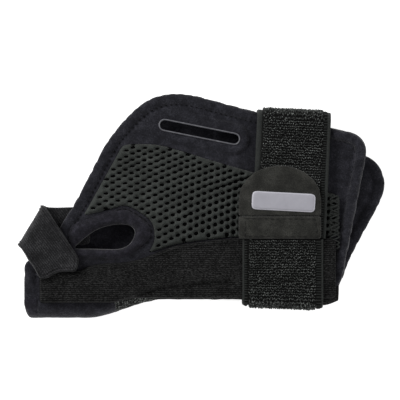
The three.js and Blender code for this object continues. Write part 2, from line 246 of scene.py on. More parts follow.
def settle(piece, body="root", slot=None, replaces=()):
    """Puts a piece on the body it rides on and hides the nodes it stands for; slot is not used."""
    if body:
        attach(piece, body)
    if replaces:
        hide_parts(*replaces)
    return piece


class Panel:
    """An outline with holes, filled with triangles and measured from its edge."""

    def __init__(self, outer, holes=(), spacing=2.0, rings=HEM_RINGS, extra=()):
        loops = [resample(anticlockwise(l[:, :2]), spacing * 0.7) for l in (outer, *holes)]
        tree = tree_of(np.vstack([resample(l, 0.4) for l in loops]))
        free = [np.asarray(extra, float).reshape(-1, 2)]
        for sign, loop in zip((1, *(-1 for _ in holes)), loops):
            for d in rings:
                moved = loop + inward(loop) * sign * d
                free.append(moved[gap_to(tree, moved) > d * 0.96])
        grid = staggered(loops[0].min(0), loops[0].max(0), spacing)
        free.append(grid[gap_to(tree, grid) > (rings[-1] if rings else 0) + spacing * 0.5])
        self.fill(loops, np.vstack(free), tree)

    def fill(self, loops, free, tree):
        """Triangles between the outlines, through the free points that lie on the cloth."""
        points = np.vstack([*loops, free[self.on_cloth(free, loops)]])
        borders, start = [], 0
        for loop in loops:
            ring = range(start, start + len(loop))
            borders += zip(ring, [*ring[1:], start])
            start += len(loop)
        found = geometry.delaunay_2d_cdt([Vector(p) for p in points], borders, [], 0, 1e-4)
        self.xy = np.array([tuple(v) for v in found[0]])
        tris = np.array(found[2])
        self.tris = tris[self.on_cloth(self.xy[tris].mean(1), loops)]
        self.on_edge = np.arange(len(self.xy)) < start
        self.gap = np.where(self.on_edge, 0, gap_to(tree, self.xy))

    def on_cloth(self, points, loops):
        keep = is_inside(points, loops[0])
        for hole in loops[1:]:
            keep &= ~is_inside(points, hole)
        return keep

    def shell(self, name, top, bottom, middle, material, **kind):
        """A closed piece whose two faces meet along every edge."""
        xy = self.xy
        return self.closed(name, np.c_[xy, np.where(self.on_edge, middle, top)],
                           np.c_[xy, np.where(self.on_edge, middle, bottom)], material, **kind)

    def closed(self, name, upper, lower, material, **kind):
        """A closed piece from the places of its upper and lower points, which share the edges."""
        n = len(self.xy)
        under = np.where(self.on_edge, np.arange(n), np.arange(n) + n)[self.tris][:, ::-1]
        faces = np.vstack([self.tris, under])
        used, faces = np.unique(faces, return_inverse=True)
        points = np.vstack([upper, lower])[used]
        return settle(add_mesh(name, points, faces.reshape(-1, 3), material), **kind)


def subdivide(piece):
    modifier = piece.modifiers.new("round", "SUBSURF")
    modifier.levels = modifier.render_levels = 1


def loft_faces(rows, size, base=0):
    """Faces of a capped tube, from its rows of points listed one after another."""
    faces = []
    for i in range(rows - 1):
        for k in range(size):
            a, b = base + i * size + k, base + i * size + (k + 1) % size
            faces.append((a, b, b + size, a + size))
    faces.append(tuple(range(base, base + size))[::-1])
    faces.append(tuple(range(base + (rows - 1) * size, base + rows * size)))
    return faces


def sweep(name, rows, material, **kind):
    """A capped tube through rows of points."""
    faces = loft_faces(len(rows), len(rows[0]))
    return settle(add_mesh(name, np.vstack(rows), faces, material), **kind)


def thread_tubes(name, lines, radius, material, sides=5, **kind):
    """Short threads, each a thin tapered tube through its own points."""
    points, faces = [], []
    around = 2 * math.pi * np.arange(sides)[:, None] / sides
    for line in np.asarray(lines, float):
        tangent = np.gradient(line, axis=0)
        tangent /= np.linalg.norm(tangent, axis=1)[:, None] + 1e-9
        side = np.cross(tangent, (0.31, 0.27, 0.91))
        side /= np.linalg.norm(side, axis=1)[:, None] + 1e-9
        up = np.cross(side, tangent)
        faces += loft_faces(len(line), sides, len(points))
        thick = np.r_[0.55, np.ones(len(line) - 2), 0.55] * radius
        for at, r, s, u in zip(line, thick, side, up):
            points += [*(at + r * (s * np.cos(around) + u * np.sin(around)))]
    return settle(add_mesh(name, points, faces, material), **kind)


def stitch_rows(line, lift, length=STITCH, gap=STITCH_GAP):
    """The stitches of a seam, each as five points bowed up by lift."""
    fine = 0.25
    line = resample(line, fine, closed=False)
    step, size = round((length + gap) / fine), round(length / fine)
    rows = []
    for start in range(0, len(line) - size, step):
        part = line[start:start + size + 1].copy()
        part[:, 2] += np.sin(np.linspace(0, math.pi, len(part))) * lift
        rows.append(part[[0, len(part) // 4, len(part) // 2, 3 * len(part) // 4, -1]])
    return rows


def open_runs(points, reach=3.0):
    """The points in order, broken where they jump, as open lines."""
    jumps = np.flatnonzero(np.linalg.norm(np.diff(points, axis=0), axis=1) > reach)
    return [part for part in np.split(points, jumps + 1) if len(part) > 6]


def sew(name, seam, height, material, slot, lift=0.15, length=STITCH, gap=STITCH_GAP, radius=THREAD):
    """Stitches along a seam; height is their level, or a function that gives it."""
    lines = []
    for part in open_runs(seam):
        level = height(part) if callable(height) else np.full(len(part), height)
        lines += stitch_rows(np.c_[part, level], lift, length, gap)
    thread_tubes(name, lines, radius, material, slot=slot)


def puff(piece, free, cap=1.6, frames=18, larger=40):
    """Blows a closed piece up with Blender's cloth, run at a larger size.

    free says how loose each point is, from 0, sewn down, to 1; cap is the most a point may move.
    """
    mesh = piece.data
    rest = np.array([v.co for v in mesh.vertices])
    mesh.vertices.foreach_set("co", (rest * larger).ravel())
    pins = piece.vertex_groups.new(name="sewn")
    for i, weight in enumerate(free):
        if weight < 1:
            pins.add([i], float(1 - weight), "REPLACE")
    cloth = piece.modifiers.new("puff", "CLOTH")
    cloth.settings.vertex_group_mass = "sewn"
    cloth.settings.use_pressure = True
    cloth.settings.uniform_pressure_force = 14
    cloth.settings.shrink_min = -0.03
    cloth.settings.effector_weights.gravity = 0
    cloth.settings.quality = 4
    scene = bpy.context.scene
    cloth.point_cache.frame_start, cloth.point_cache.frame_end = 1, frames
    for step in range(1, frames + 1):
        scene.frame_set(step)
    shown = piece.evaluated_get(bpy.context.evaluated_depsgraph_get())
    moved = np.array([v.co for v in shown.data.vertices]) / larger - rest
    piece.modifiers.remove(cloth)
    piece.vertex_groups.remove(pins)
    far = np.linalg.norm(moved, axis=1)
    limit = cap * MM
    moved *= (limit * np.tanh(far / limit) / np.maximum(far, 1e-9))[:, None]
    mesh.vertices.foreach_set("co", (rest + moved).ravel())
    mesh.update()
    scene.frame_set(1)


# ---------- materials
def linear(*rgb):
    """An sRGB colour, 0 to 255, as Blender's linear one."""
    return tuple(((c / 255 + 0.055) / 1.055) ** 2.4 if c > 10 else c / 255 / 12.92 for c in rgb) + (1.0,)


def greys(*stops):
    """Stops for Cloth.colour, each written as (place, red, green, blue)."""
    return [(at, rgb) for at, *rgb in stops]


class Cloth:
    """A node material built up from grain, weave and colour variation."""

    def __init__(self, name, roughness=0.9, sheen=0.0, specular=0.3, metallic=0.0):
        self.material = bpy.data.materials.new(name)
        self.material.use_nodes = True
        self.nodes = self.material.node_tree.nodes
        self.links = self.material.node_tree.links
        self.shader = self.nodes["Principled BSDF"]
        given = {"Roughness": roughness, "Specular IOR Level": specular, "Metallic": metallic}
        if sheen:
            given.update({"Sheen Weight": sheen, "Sheen Roughness": 0.45})
        for key, value in given.items():
            self.shader.inputs[key].default_value = value
        self.place = self.nodes.new("ShaderNodeTexCoord").outputs["Object"]
        self.bumped = None

    def node(self, kind, values, links):
        """A node with these input values, fed by these outputs."""
        made = self.nodes.new("ShaderNode" + kind)
        for key, value in values.items():
            made.inputs[key].default_value = value
        for key, source in links.items():
            self.links.new(source, made.inputs[key])
        return made

    def mapped(self, key, value):
        """Places in the piece, turned or stretched."""
        return {"Vector": self.node("Mapping", {key: value}, {"Vector": self.place}).outputs["Vector"]}

    def noise(self, size, detail=3.0, stretch=(1, 1, 1)):
        """A noise texture whose lumps are size millimetres across."""
        values = {"Scale": 1 / (size * MM), "Detail": detail, "Roughness": 0.65}
        return self.node("TexNoise", values, self.mapped("Scale", stretch)).outputs["Fac"]

    def ribs(self, pitch, turn, wander):
        """Parallel ribs, pitch millimetres apart, running across the direction turn."""
        scale = 2 * math.pi / (20 * pitch * MM)
        values = {"Scale": scale, "Distortion": wander, "Detail": 2, "Detail Scale": 3}
        texture = self.node("TexWave", values, self.mapped("Rotation", (0, 0, -turn)))
        texture.bands_direction = "X"
        return texture.outputs["Fac"]

    def blend(self, a, b, share):
        return self.node("Mix", {"Factor": share}, {"A": a, "B": b}).outputs["Result"]

    def colour(self, pattern, stops):
        """Colours along a pattern: stops are (place, sRGB)."""
        ramp = self.node("ValToRGB", {}, {"Fac": pattern})
        ends = ramp.color_ramp.elements
        for end, (at, rgb) in ((ends[0], stops[0]), (ends[-1], stops[-1])):
            end.position, end.color = at, linear(*rgb)
        for at, rgb in stops[1:-1]:
            ends.new(at).color = linear(*rgb)
        self.links.new(ramp.outputs["Color"], self.shader.inputs["Base Color"])
        return self

    def bump(self, pattern, depth, strength=0.8):
        """Raises the surface by depth millimetres with a pattern; bumps add up."""
        links = {"Height": pattern, "Normal": self.bumped} if self.bumped else {"Height": pattern}
        node = self.node("Bump", {"Strength": strength, "Distance": depth * MM}, links)
        self.bumped = node.outputs["Normal"]
        self.links.new(self.bumped, self.shader.inputs["Normal"])
        return self


def grained(name, size, stops, depth, detail=3, stretch=(1, 1, 1), strength=0.8, **surface):
    """One grain of fibres, size millimetres across, for both colour and relief."""
    cloth = Cloth(name, **surface)
    grain = cloth.noise(size, detail, stretch)
    return cloth.colour(grain, stops).bump(grain, depth, strength).material


def plain(name, low, high, size, depth=0.05, specular=0.4, **surface):
    """A grain between two colours."""
    return grained(name, size, [(0.3, low), (0.7, high)], depth, specular=specular, **surface)


def napped(name, fine, broad, share, stops, relief, fuzz_depth, sheen):
    """Brushed cloth: fine fuzz over broad mottling; relief is the mottling's depth and strength."""
    cloth = Cloth(name, roughness=0.95, sheen=sheen, specular=0.15)
    fuzz, mottle = cloth.noise(*fine), cloth.noise(*broad)
    cloth.colour(cloth.blend(fuzz, mottle, share), stops)
    return cloth.bump(mottle, *relief).bump(fuzz, fuzz_depth, 0.9).material


def ribbed(name, ribs, fine, share, stops, relief, fuzz_depth, **surface):
    """Ribbed cloth: ribs under fuzz, with broad patches; share is how much the patches count."""
    cloth = Cloth(name, **surface)
    ribs, fuzz, patch = cloth.ribs(*ribs), cloth.noise(*fine), cloth.noise(6, 3)
    cloth.colour(cloth.blend(cloth.blend(ribs, fuzz, 0.88), patch, share), stops)
    return cloth.bump(ribs, *relief).bump(fuzz, fuzz_depth, 0.9).material


def mesh_yarn():
    cloth = Cloth("mesh_yarn", roughness=0.75, sheen=0.1, specular=0.3)
    fibre, patch = cloth.noise(0.35, 4, (1, 2.2, 1)), cloth.noise(7, 2)
    cloth.colour(cloth.blend(fibre, patch, 0.3),
                 greys((0.3, 26, 28, 26), (0.52, 56, 60, 57), (0.72, 92, 96, 93)))
    return cloth.bump(fibre, 0.35, 0.9).material


def tape_ground():
    cloth = Cloth("tape_ground", roughness=0.9, specular=0.2)
    fibre = cloth.noise(0.5, 3)
    cloth.colour(fibre, greys((0.3, 10, 10, 10), (0.7, 27, 28, 27)))
    return cloth.bump(cloth.ribs(0.8, math.pi / 2, 0.4), 0.2).bump(fibre, 0.15).material


def loop_yarn_and_glints():
    # colour varies at random over the dark yarn, and its light grey flecks are painted glints of lit loops
    cloth = Cloth("loop_yarn_and_glints", roughness=0.6, specular=0.45)
    shade = cloth.blend(cloth.noise(0.8, 2), cloth.noise(6, 2), 0.25)
    return cloth.colour(shade, greys((0.36, 26, 27, 26), (0.5, 63, 66, 64), (0.63, 146, 150, 147))).material


NAP = napped("nap", (0.7, 5), (5.0, 3), 0.45,
             greys((0.3, 14, 14, 19), (0.5, 38, 38, 44), (0.7, 68, 68, 76)),
             relief=(0.8, 0.6), fuzz_depth=0.5, sheen=0.25)
HEM_NAP = napped("hem_nap", (0.6, 5), (3.0, 3), 0.5,
                 greys((0.3, 14, 13, 18), (0.5, 34, 33, 40), (0.7, 64, 62, 72)),
                 relief=(0.6, 0.6), fuzz_depth=0.45, sheen=0.3)
SUEDE = napped("suede", (0.45, 4), (7, 3), 0.4,
               greys((0.34, 26, 26, 25), (0.5, 50, 50, 47), (0.66, 78, 78, 74)),
               relief=(0.9, 0.5), fuzz_depth=0.4, sheen=0.2)
KNIT = ribbed("knit", (1.05, math.pi / 2, 2.5), (0.55, 4, (0.6, 1.3, 1)), 0.14,
              greys((0.36, 3, 3, 3), (0.5, 25, 25, 25), (0.64, 66, 66, 66)),
              relief=(0.08, 0.6), fuzz_depth=0.45, roughness=0.97, sheen=0.02, specular=0.1)
ELASTIC = ribbed("elastic", (1.15, math.radians(37), 0.8), (0.5, 4), 0.3,
                 greys((0.36, 10, 10, 11), (0.5, 32, 32, 34), (0.64, 72, 72, 74)),
                 relief=(0.08, 0.5), fuzz_depth=0.4, roughness=0.85, sheen=0.12, specular=0.2)
YARN, TAPE_GROUND, LOOP_AND_GLINTS = mesh_yarn(), tape_ground(), loop_yarn_and_glints()
LINING = plain("lining", (12, 12, 13), (30, 30, 33), 0.9, 0.3, detail=4, roughness=0.95, sheen=0.1,
               specular=0.1)
# The mesh's lower layer, coloured near black: painted shade seen down the pores
PORE_SHADE_GROUND = grained("mesh_ground_pore_shade", 0.8, greys((0.3, 4, 4, 4), (0.75, 14, 14, 14)), 0.3, roughness=1.0,
                 specular=0.05)
SPECKLE = grained("mesh_sliver", 0.8, greys((0.44, 16, 17, 16), (0.55, 40, 42, 40), (0.64, 150, 154, 150)),
                  0.6, detail=2, roughness=0.8, specular=0.2)
SELVEDGE = plain("selvedge", (25, 27, 26), (58, 61, 59), 0.5, 0.2, roughness=0.75, specular=0.3)
NAP_THREAD = plain("nap_thread", (7, 7, 9), (18, 18, 22), 0.5, roughness=0.8, specular=0.2)
BLACK_THREAD = plain("black_thread", (12, 12, 12), (30, 30, 30), 0.5, roughness=0.7)
SUEDE_THREAD = plain("suede_thread", (14, 14, 13), (34, 34, 32), 0.5, roughness=0.7)
LABEL = plain("label_film", (180, 179, 188), (190, 189, 198), 6.0, 0.02, roughness=0.5)
LABEL_EDGE = plain("label_edge", (206, 205, 214), (216, 215, 224), 4.0, 0.02, roughness=0.45)
RIM = plain("slot_edge", (92, 92, 98), (128, 128, 134), 1.5, roughness=0.45)
HOOK = plain("hook_plastic", (14, 14, 15), (30, 30, 32), 0.8, roughness=0.5)
METAL = plain("stay_metal", (112, 114, 117), (142, 144, 147), 0.5, roughness=0.38, metallic=1.0,
              stretch=(0.05, 1, 1))
FLOOR = plain("floor", (252, 252, 252), (255, 255, 255), 60.0, 0.0, roughness=0.9, specular=0.1)
GLOW = FLOOR.node_tree.nodes["Principled BSDF"].inputs
GLOW["Emission Color"].default_value = (1, 1, 1, 1)
GLOW["Emission Strength"].default_value = 0.8


# ---------- wings
def in_order(keep):
    """Indices of the kept points of an outline, starting after one that is left out."""
    order = np.roll(np.arange(len(keep)), -np.flatnonzero(~keep)[0])
    return order[keep[order]]


def joined_outline(hem, cover):
    """The wing's outline as one loop, from the runs that its two pieces have to themselves."""
    hem_loop, cover_loop = (anticlockwise(resample(cap_loops(node)[0], 0.5)) for node in (hem, cover))
    outer = in_order(gap_to(tree_of(cover_loop), hem_loop) > 4.0)
    lower = in_order(gap_to(tree_of(hem_loop), cover_loop) > 2.0)
    return np.vstack([hem_loop[outer], cover_loop[lower]])


def plane_of(node, up=True):
    """Height of a node's flat side as a function of x, for a panel that may lean."""
    loop = cap_loops(node, up)[0]
    slope, level = np.polyfit(loop[:, 0], loop[:, 2], 1)
    return lambda x: level + slope * np.asarray(x, float)


def hem_rise(gap, full):
    """How far a rolled hem stands up, at each distance in from the edge."""
    t = np.clip(gap / HEM, 0, 1)
    roll = full * np.clip(1 - np.abs(2 * t - 1) ** 2.4, 0, 1) ** 0.5
    return np.where(gap < HEM, roll, 0)


def grown(loop, distance, drawn_in):
    """An anticlockwise outline moved outwards, as far as its free edge puffs out."""
    inwards = inward(loop[:, :2])
    free = distance * (loop[:, 1] > RUN_OUT[1]) * ease(THUMB_END, THUMB_END + 8, loop[:, 0])
    free -= drawn_in * ease(0.15, 0.75, inwards[:, 0]) * ease(-14, 4, loop[:, 1])
    moved = loop.copy()
    moved[:, :2] -= inwards * free[:, None]
    return moved


def under_strap(x, before, onto, off, after):
    """1 under the wound strap, 0 beside it; it changes between two places at each of its sides."""
    low, high = (side[0] for side in box_mm("wrist_strap_upper"))
    return plateau(x, low + before, low + onto, high + off, high + after)


def wing(name, face_up, holes, seed, out=PUFF_OUT, drawn_in=0.0):
    """A padded wing: puffy rolled hem, stitched furrow and soft field inside."""
    hem, cover, lining = (f"{name}_{part}" for part in ("hem", "cover", "lining"))
    outline = rounded(grown(rounded(joined_outline(hem, cover)), out, drawn_in), 4)
    panel = Panel(outline, holes, spacing=2.2)
    face, inner = plane_of(cover, face_up), plane_of(lining, not face_up)
    sign = 1 if face_up else -1
    x, y = panel.xy.T
    middle = (face(x) + inner(x)) / 2
    half = np.abs(face(x) - inner(x)) / 2
    lumps = ragged(panel.xy, 14, seed) * 0.35 + ragged(panel.xy, 4, seed + 5) * 0.12
    field = ease(HEM + 0.4, HEM + 3.4, panel.gap)
    low_edge = 1 - ease(*RUN_OUT, y + THUMB_DROP * (x < THUMB_HALF))
    puffy = ease(*PUFFY, x)
    furrow = 1.2 - 1.0 * puffy
    puckers = 1 + 0.35 * ragged(panel.xy, 2.6, seed + 9)
    roll = (0.5 + 2.3 * puffy) * (1 - 0.6 * under_strap(x, -4, 3, -2, 3))
    outside = furrow + hem_rise(panel.gap, 1.0) * roll * puckers * (1 - low_edge)
    flat = furrow + field * (half - furrow + 0.15 - 1.3 * under_strap(x, -9, 2, 3, 15))
    outside = np.where(panel.gap < HEM, outside, flat) + lumps * ease(0, 3, panel.gap)
    outside = np.where(low_edge > 0.5, half * ease(-0.5, 1.5, panel.gap), outside)
    inside = np.where(panel.gap < HEM, 0.6 + hem_rise(panel.gap, 0.7), 0.6 + field * (half - 0.75))
    above, below = (outside, inside) if face_up else (inside, outside)
    piece = panel.shell(name, middle + above, middle - below, middle, NAP, slot="nap_fabric",
                        replaces=(hem, cover, lining))
    points = np.array([v.co for v in piece.data.vertices]) / MM
    gap = edge_gap(outline, points)
    loose = plateau(gap, 0.3, 1.5, HEM - 1.6, HEM - 0.4) + (gap <= 0.3) * 0.6
    puff(piece, loose * (points[:, 1] >= SEWN_BELOW))
    subdivide(piece)

    def level(seam):
        at = seam[:, 0]
        return (face(at) + inner(at)) / 2 + sign * (1.4 - 0.95 * ease(*PUFFY, at))

    seam = offset_line(anticlockwise(outline), HEM, 0.5)
    above_fold = seam[:, 1] > SEWN_BELOW - 1 + 4 * (seam[:, 0] < -50)
    sew(f"{name}_stitches", seam[above_fold], level, NAP_THREAD, "nap_fabric", lift=0.15 * sign,
        length=1.3, gap=1.4, radius=0.32)


def hole_surround():
    """Padded nap ring round the thumb hole, rolled over at the hole's edge."""
    outer, hole = cap_loops("thumb_hole_surround")[:2]
    hole = rounded(resample(hole, 0.6), 2)
    panel = Panel(rounded(resample(outer, 0.6)), (hole,), spacing=1.6, rings=(0.4, 1.0, 1.8, 2.8))
    low, high = box_mm("thumb_hole_surround")
    to_hole, to_edge = edge_gap(hole, panel.xy), edge_gap(outer, panel.xy)
    rise = ease(-0.4, 4.0, to_edge) * (0.15 + 0.85 * ease(-0.3, 3.4, to_hole))
    lumps = ragged(panel.xy, 5, 3.0) * 0.25
    top = low[2] - 0.6 + (high[2] - low[2] + 0.95) * rise + lumps * rise
    piece = panel.shell("thumb_hole_surround_nap", top, low[2] - 1.4, low[2] - 0.9 - 0.8 * (to_hole < 0.5),
                        HEM_NAP, slot="nap_fabric", replaces=("thumb_hole_surround",))
    seam = offset_line(anticlockwise(resample(outer, 0.5)), 1.1, 0.5)
    in_sight = (gap_to(tree_of(hole), seam) > 2.0) & (seam[:, 0] > -46) & (seam[:, 1] > -22)
    sew("thumb_hole_stitches", seam[in_sight], low[2] + 0.25, NAP_THREAD, "nap_fabric")


def slot_ring():
    """Thin rounded lip round the strap slot."""
    low, high = box_mm("slot_rim")
    line = resample(slot[:, :2], 0.8)
    outwards = -inward(line)
    if not is_inside(line[:1] - outwards[:1] * 0.3, line)[0]:
        outwards = -outwards
    section = ((0.0, low[2]), (0.0, high[2] - 0.3), (0.15, high[2]), (0.55, high[2] + 0.05),
               (0.75, high[2] - 0.4), (0.75, low[2]))
    points = [(*(p + out * d), z) for p, out in zip(line, outwards) for d, z in section]
    n, k = len(points), len(section)
    faces = [(i, i - i % k + (i + 1) % k, (i - i % k + k + (i + 1) % k) % n, (i + k) % n) for i in range(n)]
    settle(add_mesh("slot_lip", points, faces, RIM), slot="slot_edge", replaces=("slot_rim",))


thumb_hole = min(cap_loops("front_wing_cover")[1:], key=lambda l: l[:, 0].mean())
slot = cap_loops("slot_rim")[1]
wing("front_wing", True, (rounded(resample(thumb_hole, 0.6), 2), slot), 1.0, drawn_in=1.4)
wing("back_wing", False, (), 7.0, out=PUFF_OUT + 0.5)


# ---------- spacer mesh
def pores(outline, points=9):
    """Oval pores in staggered columns, growing rounder down the panel."""
    low, high = outline.min(0), outline.max(0)
    tree = tree_of(resample(outline, 0.5))
    draw = random.Random(4)
    found = []
    for column in range(int((high[0] - low[0]) / PORE_COLUMN) + 2):
        for row in range(-6, 26):
            step = row + (column % 2) * 0.5
            x = low[0] + column * PORE_COLUMN + draw.uniform(-0.15, 0.15)
            down = PORE_ROW * step + 0.045 * step * abs(step)
            y = MESH_TOP - MESH_BOW * max(0.0, x + 45) ** 2 - down + draw.uniform(-0.12, 0.12)
            x -= 0.05 * down
            deep = min(max(down / 36, 0), 1) * ease(-40, 10, x)
            wide, tall = 1.32 - 0.12 * deep, 0.62 + 0.5 * deep + draw.uniform(-0.06, 0.06)
            centre = np.array([[x, y]])
            if not is_inside(centre, outline)[0] or gap_to(tree, centre)[0] < tall + 0.2:
                continue
            turn = 0.35 * deep + draw.uniform(-0.1, 0.1)
            angle = 2 * math.pi * np.arange(points) / points
            oval = np.c_[wide * np.cos(angle), tall * np.sin(angle)]
            turned = np.array([(math.cos(turn), math.sin(turn)), (-math.sin(turn), math.cos(turn))])
            loop = centre + oval @ turned
            if is_inside(loop, outline).all() and gap_to(tree, loop).min() > 0.2:
                found.append(loop)
    return found


class Netting(Panel):
    """A panel with hundreds of pores, with few triangles between them."""

    def __init__(self, outer, holes, spacing=1.0):
        loops = [resample(anticlockwise(outer[:, :2]), 1.0), *holes]
        tree = tree_of(np.vstack([resample(l, 0.3) for l in loops]))
        self.near = tree_of(np.array([h.mean(0) for h in holes]))
        grid = staggered(loops[0].min(0), loops[0].max(0), spacing)
        self.fill(loops, grid[gap_to(tree, grid) > spacing * 0.36], tree)

    def on_cloth(self, points, loops):
        """Each point is tested only against the pore nearest to it."""
        pores_near = [loops[self.near.find((p[0], p[1], 0))[1] + 1] for p in points]
        in_pore = [is_inside(p[None], pore)[0] for p, pore in zip(points, pores_near)]
        return is_inside(points, loops[0]) & ~np.array(in_pore)


def netting(name, node, face_up):
    """Open knitted mesh: raised yarn between real pores, over a ground sheet for the mesh's lower layer,
    coloured near black as painted shade in the pores.
    """
    outline = rounded(resample(cap_loops(node, face_up)[0], 0.7), 2)
    face, inner = plane_of(node, face_up), plane_of(node, not face_up)
    sign = 1 if face_up else -1
    panel = Netting(outline, pores(anticlockwise(outline[:, :2])))
    x = panel.xy[:, 0]
    rim = edge_gap(outline[:, :2], panel.xy, 0.5)
    sag = 1.2 * (1 - ease(0, 1.8, rim))
    lumps = ragged(panel.xy, 3.2, 9.0) * 0.15
    top = face(x) + sign * (0.15 - 0.55 * (1 - ease(0, 0.75, panel.gap)) - sag + lumps)
    bottom = face(x) - sign * (1.0 + sag * 0.7)
    middle = face(x) - sign * (0.7 + sag * 0.7)
    if not face_up:
        top, bottom = bottom, top
    piece = panel.shell(name, top, bottom, middle, YARN, slot="spacer_mesh", replaces=(node,))
    # sheet under the pores, near black as painted shade
    ground = Panel(outline, spacing=4.0, rings=())
    level = inner(ground.xy[:, 0])
    ground.shell(name + "_ground", level + 0.25, level - 0.25, level, PORE_SHADE_GROUND, slot="spacer_mesh")


def loose_net():
    """Heavier yarn in open diamonds along the mesh's forearm edge."""
    low, high = box_mm("front_mesh_panel")
    right = box_mm("wrist_strap_upper")[1][0]
    middle, swing = (right + high[0]) / 2 - 0.3, (high[0] - right) / 2 - 0.1
    heights = np.linspace(low[1] + 1.5, 6.0, 57)
    lines = []
    for phase in (0.0, math.pi / 1.3):
        wave = np.sin(heights * 2 * math.pi / 5.2 + phase)
        level = high[2] + 0.5 + 0.3 * np.cos(heights * 2.4 + phase)
        lines.append(np.c_[middle + swing * wave, heights, level])
    thread_tubes("mesh_edge_net", lines, 0.42, SELVEDGE, slot="spacer_mesh")


# ---------- fold and stay pocket
def fold_edges():
    """Where the wings end, at the thumb end and at the forearm end, and how far the fold stands out."""
    cover = cap_loops("front_wing_cover")[0]
    spine = np.array([v.co for v in frame["nodes"]["fold_spine"].data.vertices]) / MM
    (thumb, thumb_fold), (arm, arm_fold) = ([part[at(part[:, 0])][:, 1].min() for part in (cover, spine)]
                                            for at in (lambda x: x < -60, lambda x: x > 0))
    return thumb, arm, thumb - thumb_fold, arm - arm_fold


THUMB_EDGE, ARM_EDGE, THUMB_DEPTH, ARM_DEPTH = fold_edges()


def fold_state(x):
    """The fold's edge line, how far it stands out, and its lowest and highest level at x."""
    high = box_mm("fold_spine")[1]
    forearm = ease(*FOLD_NARROWS, x)
    edge = THUMB_EDGE + (ARM_EDGE - THUMB_EDGE) * forearm
    depth = THUMB_DEPTH + (ARM_DEPTH - THUMB_DEPTH) * forearm
    beside = box_mm("wrist_strap_front")[1][0] + 1
    sag = 0.8 + 3.2 * plateau(x, beside - 8, beside, beside, high[0] + 3)
    return edge, depth + sag, plane_of("back_wing_cover", False)(x), high[2]


def fold_part(name, start, end, material, swell, slot, lumps=0.25, seed=0.0, step=1.0, **kind):
    """One stretch of the fold: a padded half tube from the front wing round to the back wing."""
    angles = np.linspace(-math.pi / 2 - 0.35, math.pi / 2 + 0.35, 19)
    rows = []
    for x in resample([(start, 0.0), (end, 0.0)], step, closed=False)[:, 0]:
        edge, depth, base, top = fold_state(x)
        taper = min(max(0.0, (THUMB_TIP - x) / 5.2), 1)
        depth = depth * math.sqrt(max(0.0, 1 - taper ** 3.4)) + 0.25
        puffed = swell * math.sin(math.pi * min(max((x - start) / (end - start), 0), 1)) ** 0.4
        half, middle = (top - base) / 2, (top + base) / 2
        row = []
        for level, sense in ((0.0, 1), (-FOLD_THICK, -1)):
            for angle in angles[::sense]:
                bump = (puffed + lumps * noise.noise(Vector((x / 5, angle * 2, seed)))) * (level == 0)
                y = edge - (depth + level + bump) * math.cos(angle)
                z = middle + (half + level * 0.9 + bump * 0.5) * math.sin(angle)
                row.append((x, y + FOLD_OVERLAP, z))
        rows.append(row)
    sweep(name, rows, material, slot=slot, **kind)


def pocket():
    """Knitted channel over the stay, open at the forearm end."""
    outline = rounded(resample(cap_loops("stay_pocket_cover")[0], 0.6), 2)
    low, high = box_mm("stay_pocket_upper_seam")[0], box_mm("stay_pocket_cover")[1]
    mouth = outline[:, 0].max() - 0.8
    ledge = np.array(LEDGE)
    near_ledge = [resample(ledge, 0.7, closed=False) + (0, d) for d in (-1.0, -0.5, 0.0, 0.5, 1.0)]
    panel = Panel(outline, spacing=1.5, rings=(0.5, 1.1, 1.8, 2.6), extra=np.vstack(near_ledge))
    gap = gap_to(tree_of(outline[outline[:, 0] < mouth]), panel.xy)
    stay_low, stay_high = box_mm("stay")
    axis = joint("stay_slide")["axis"]
    centre = (stay_low[:2] + stay_high[:2]) / 2
    across = np.abs((panel.xy - centre) @ np.array([-axis[1], axis[0]]))
    hump = 1 - 0.45 * ease(8.0, 15.0, across)
    above = panel.xy[:, 1] - np.interp(panel.xy[:, 0], ledge[:, 0], ledge[:, 1])
    free = plateau(panel.xy[:, 0], LEDGE[0][0], -40.0, 13.0, 19.5)
    swollen = 1.6 * free * ease(-0.5, 0.5, above) * np.exp(-(np.maximum(above, 0) / 8.0) ** 2)
    lumps = ragged(panel.xy * (0.35, 1), 6, 2.0) * 0.22
    rise = np.minimum(ease(-0.1, 1.3, gap), hump)
    top = low[2] + 0.15 + (high[2] - low[2] + 0.45) * rise + (lumps + swollen) * rise
    bottom = low[2] + 0.05 + (stay_high[2] + 0.12 - low[2]) * rise
    top = np.maximum(top, bottom + 0.35)
    middle = np.where(gap < 0.6, low[2] - 0.7, (top + bottom) / 2)
    piece = panel.shell("stay_pocket_knit", top, bottom, middle, KNIT, slot="knit_fabric",
                        replaces=("stay_pocket_cover", "stay_pocket_upper_seam", "stay_pocket_lower_seam",
                                  "stay_pocket_end_seam"))
    seam = offset_line(anticlockwise(outline), 1.4, 0.5)
    sew("stay_pocket_stitches", seam[seam[:, 0] < mouth - 2], high[2] - 0.1, BLACK_THREAD, "knit_fabric",
        lift=0.1)


# ---------- wrist strap
def rounded_path(corners, radii, spacing=0.45):
    """A line in the y-z plane with its corners rounded off, evenly spaced."""
    points = [np.array(corners[0], float)]
    for before, corner, after, radius in zip(corners, corners[1:], corners[2:], radii):
        before, corner, after = (np.array(p, float) for p in (before, corner, after))
        a, b = ((end - corner) / np.linalg.norm(end - corner) for end in (before, after))
        centre = corner + (a + b) * radius
        for t in np.linspace(0, math.pi / 2, 9):
            points.append(centre - b * radius * math.cos(t) - a * radius * math.sin(t))
    points.append(np.array(corners[-1], float))
    return resample(np.array(points), spacing, closed=False)


